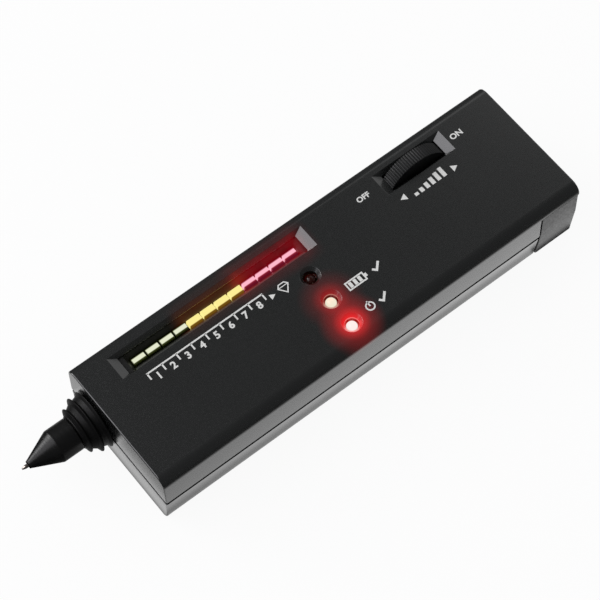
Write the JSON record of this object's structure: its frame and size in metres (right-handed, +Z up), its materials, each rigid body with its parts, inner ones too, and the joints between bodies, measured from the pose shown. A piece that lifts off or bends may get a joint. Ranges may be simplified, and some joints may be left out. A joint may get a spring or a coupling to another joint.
{
  "type": "diamond tester",
  "caption": "Pocket thermal tester for stones: slim two-shell case, sprung probe needle, row of coloured lights, round lamps, edge wheel and slide-off battery cap.",
  "frame": {"origin": "under the middle of the whole object, on the plane that its underside rests on", "axes": "+X from the probe to the battery end, +Y to the side of the light row, +Z up out of the face with the lights"},
  "size_m": [0.1518, 0.0394, 0.0252],
  "materials": {
    "case_plastic": "black moulded ABS, fine satin texture",
    "probe_collar_plastic": "black moulded plastic, satin",
    "probe_cone": "turned metal, black coated, semi-gloss",
    "needle_metal": "turned and polished",
    "heater_brass": "turned",
    "spring_steel": "drawn wire",
    "sleeve_plastic": "heat-proof insulating sleeve",
    "plug_plastic": "moulded",
    "board_laminate": "green solder mask on glass laminate",
    "green_light_epoxy": "tinted clear epoxy, lit",
    "amber_light_epoxy": "tinted clear epoxy, lit",
    "red_light_epoxy": "tinted clear epoxy, lit",
    "lamp_epoxy_unlit": "red tinted epoxy, unlit",
    "lamp_epoxy_lit": "red tinted epoxy, lit",
    "light_holder_plastic": "black moulded",
    "wheel_plastic": "black moulded, toothed rim",
    "pot_body": "moulded",
    "pot_shaft": "moulded",
    "screw_steel": "zinc plated",
    "chip_epoxy": "moulded epoxy",
    "resistor_coat": "tan coat with colour bands",
    "trimmer_blue": "moulded",
    "capacitor_sleeve": "shrunk sleeve",
    "buzzer_plastic": "moulded",
    "battery_jacket": "plain printed metal jacket",
    "snap_plastic": "moulded",
    "foam": "closed-cell foam",
    "red_wire": "insulated wire",
    "black_wire": "insulated wire",
    "white_wire": "insulated wire",
    "green_wire": "insulated wire",
    "touch_plate_steel": "brushed stainless sheet"
  },
  "bodies": {
    "case": {"amber_light_1": "amber_light_epoxy", "amber_light_2": "amber_light_epoxy", "amber_light_3": "amber_light_epoxy", "amber_light_4": "amber_light_epoxy", "amplifier_chip": "chip_epoxy", "battery": "battery_jacket", "battery_lamp": "lamp_epoxy_lit", "battery_pad": "foam", "battery_snap": "snap_plastic", "black_lead": "black_wire", "buzzer": "buzzer_plastic", "capacitor_1": "capacitor_sleeve", "capacitor_2": "capacitor_sleeve", "case_screw_1": "screw_steel", "case_screw_2": "screw_steel", "case_screw_3": "screw_steel", "case_screw_4": "screw_steel", "circuit_board": "board_laminate", "comparator_chip_1": "chip_epoxy", "comparator_chip_2": "chip_epoxy", "diamond_lamp": "lamp_epoxy_unlit", "green_light_1": "green_light_epoxy", "green_light_2": "green_light_epoxy", "green_light_3": "green_light_epoxy", "green_light_4": "green_light_epoxy", "ground_lead": "black_wire", "guide_tube": "sleeve_plastic", "heater_lead": "red_wire", "light_holder": "light_holder_plastic", "lower_shell": "case_plastic", "nose_collar": "probe_collar_plastic", "nose_cone": "probe_cone", "potentiometer_body": "pot_body", "probe_end_plug": "plug_plastic", "probe_spring": "spring_steel", "ready_lamp": "lamp_epoxy_lit", "red_lead": "red_wire", "red_light_1": "red_light_epoxy", "red_light_2": "red_light_epoxy", "red_light_3": "red_light_epoxy", "red_light_4": "red_light_epoxy", "resistor_1": "resistor_coat", "resistor_2": "resistor_coat", "resistor_3": "resistor_coat", "resistor_4": "resistor_coat", "sensor_lead": "white_wire", "touch_plate": "touch_plate_steel", "touch_plate_lead": "green_wire", "trimmer_1": "trimmer_blue", "trimmer_2": "trimmer_blue", "upper_shell": "case_plastic", "voltage_regulator": "chip_epoxy"},
    "cover": {"battery_cover": "case_plastic"},
    "wheel": {"thumb_wheel": "wheel_plastic", "potentiometer_shaft": "pot_shaft", "wheel_screw": "screw_steel"},
    "probe": {"probe_needle": "needle_metal", "heater_block": "heater_brass"}
  },
  "joints": [
    {"name": "cover_slide", "type": "slide", "parent": "case", "child": "cover", "axis": [1, 0, 0], "range_m": [0, 0.012]},
    {"name": "wheel_turn", "type": "hinge", "parent": "case", "child": "wheel", "pos_m": [0.04785, 0.0121, 0.0156], "axis": [0, 1, 0], "range_deg": [-250, 40]},
    {"name": "needle_press", "type": "slide", "parent": "case", "child": "probe", "axis": [1, 0, 0], "range_m": [0, 0.001], "stiffness_N_per_m": 500, "springref_m": -0.001, "deforming": ["probe_spring"]}
  ]
}
